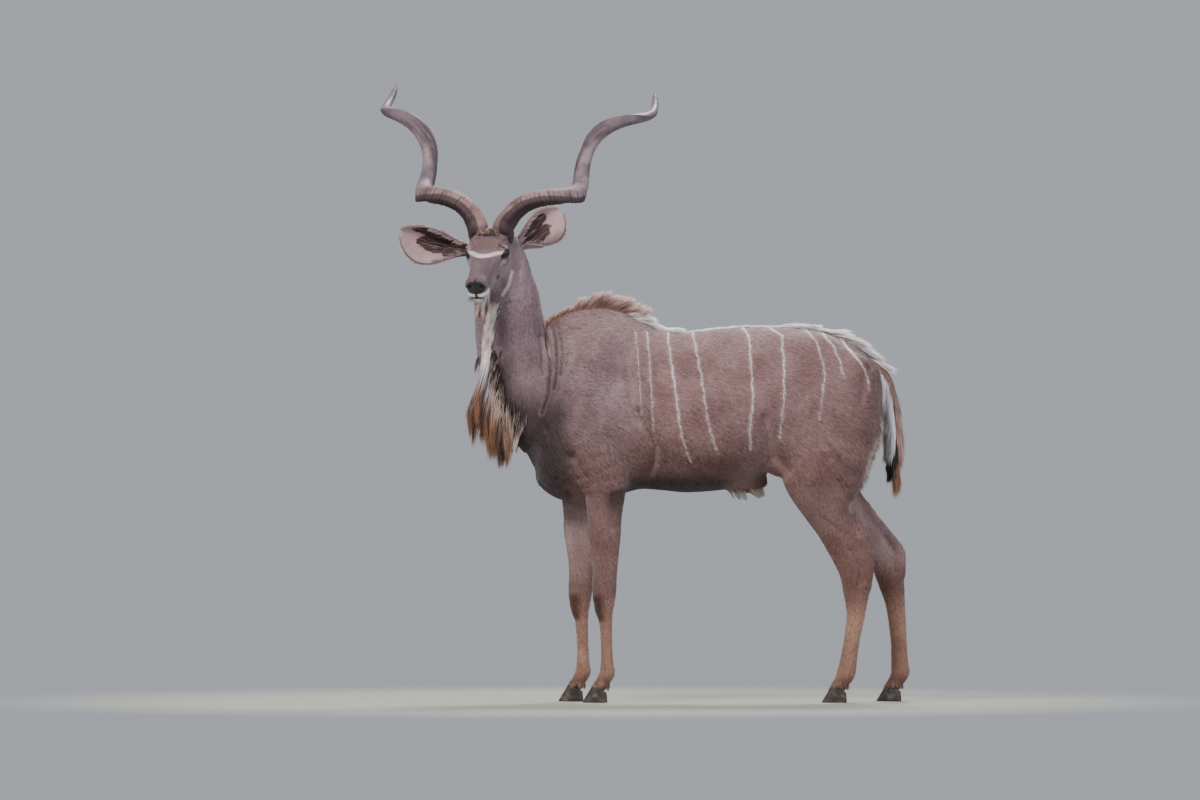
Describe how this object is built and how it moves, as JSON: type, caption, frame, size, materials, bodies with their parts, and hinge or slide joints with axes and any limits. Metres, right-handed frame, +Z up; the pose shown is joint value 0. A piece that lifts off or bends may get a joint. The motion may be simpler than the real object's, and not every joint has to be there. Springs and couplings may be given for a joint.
{
  "type": "standing antelope",
  "caption": "Life-size standing kudu bull with spiral horns, striped flanks, a throat fringe and its head turned to one side.",
  "frame": {"origin": "on the floor, under the middle of the whole animal's box", "axes": "+X towards the tail, +Y towards the animal's right side, +Z up; the bull faces -X and its head is turned towards -Y"},
  "size_m": [1.9464, 0.9564, 2.2729],
  "materials": {
    "coat": "short smooth hair, grey brown with narrow white stripes",
    "neck": "short hair, darker and greyer, with a long fringe under the throat",
    "face": "short sleek hair, white bar between the eyes, black nose",
    "legs": "short sleek hair, tawny",
    "tail": "longer hair, white below and black at the tip",
    "ear": "thin skin with fine pale hair inside",
    "horn": "ridged horn, worn smooth and pale towards the tips",
    "hoof": "dark horn, lightly scuffed",
    "eye": "wet and glossy"
  },
  "bodies": {
    "root": {"head": "face", "neck": "neck", "torso": "coat", "tail": "tail", "eye_left": "eye", "horn_left": "horn", "ear_left": "ear", "foreleg_left_upper": "legs", "foreleg_left_cannon": "legs", "foreleg_left_foot": "legs", "hindleg_left_upper": "legs", "hindleg_left_cannon": "legs", "hindleg_left_foot": "legs", "foreleg_left_claw_left": "hoof", "foreleg_left_claw_right": "hoof", "hindleg_left_claw_left": "hoof", "hindleg_left_claw_right": "hoof", "eye_right": "eye", "horn_right": "horn", "ear_right": "ear", "foreleg_right_upper": "legs", "foreleg_right_cannon": "legs", "foreleg_right_foot": "legs", "hindleg_right_upper": "legs", "hindleg_right_cannon": "legs", "hindleg_right_foot": "legs", "foreleg_right_claw_left": "hoof", "foreleg_right_claw_right": "hoof", "hindleg_right_claw_left": "hoof", "hindleg_right_claw_right": "hoof"}
  },
  "joints": []
}
